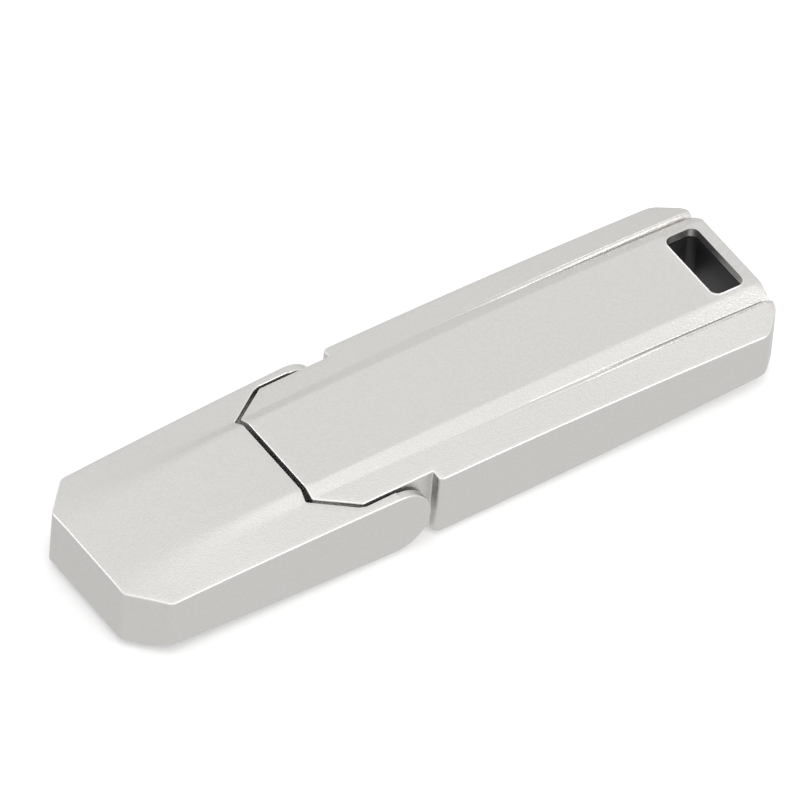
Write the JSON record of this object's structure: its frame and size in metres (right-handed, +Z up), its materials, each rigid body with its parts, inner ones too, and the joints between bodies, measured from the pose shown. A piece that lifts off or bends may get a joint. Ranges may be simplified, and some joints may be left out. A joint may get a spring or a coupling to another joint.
{
  "type": "usb flash drive",
  "caption": "Slim metal USB flash drive whose notched cap swings up on side cheeks to bare the plug; a lanyard slot crosses the other end.",
  "frame": {"origin": "centre of the bounding box on the plane the drive rests on", "axes": "+X along the drive to the slot end, +Y across it along the hinge axis to the far side, +Z up out of the face with the notch"},
  "size_m": [0.067, 0.0182, 0.0081],
  "materials": {
    "aluminium": "bead-blasted, satin, clear anodised",
    "plastic": "fine matte moulding",
    "steel": "bright rolled and nickel plated",
    "insulator": "smooth moulding",
    "gold": "gold flash plated, bright",
    "board": "solder mask, semi-gloss",
    "epoxy": "moulded epoxy, matte",
    "ceramic": "fired ceramic, matte",
    "pad": "soft, matte"
  },
  "bodies": {
    "handle": {"body_shell": "aluminium", "bottom_cover": "aluminium", "slot_liner": "plastic", "core_carrier": "plastic", "plug_collar": "plastic", "usb_shell": "steel", "usb_insulator": "insulator", "circuit_board": "board", "controller_chip": "epoxy", "flash_chip_1": "epoxy", "flash_chip_2": "epoxy", "crystal": "steel", "thermal_pad": "pad", "hinge_pin_near": "steel", "hinge_pin_far": "steel", "hinge_washer_near": "plastic", "hinge_washer_far": "plastic", "usb_contact_1": "gold", "capacitor_1": "ceramic", "cover_screw_1": "steel", "usb_contact_2": "gold", "capacitor_2": "ceramic", "cover_screw_2": "steel", "usb_contact_3": "gold", "capacitor_3": "ceramic", "cover_screw_3": "steel", "usb_contact_4": "gold", "capacitor_4": "ceramic", "cover_screw_4": "steel"},
    "cap": {"cap_shell": "aluminium", "cap_liner": "plastic"}
  },
  "joints": [
    {"name": "cap_hinge", "type": "hinge", "parent": "handle", "child": "cap", "pos_m": [-0.00735, 0, 0.00375], "axis": [0, 1, 0], "range_deg": [0, 90]}
  ]
}
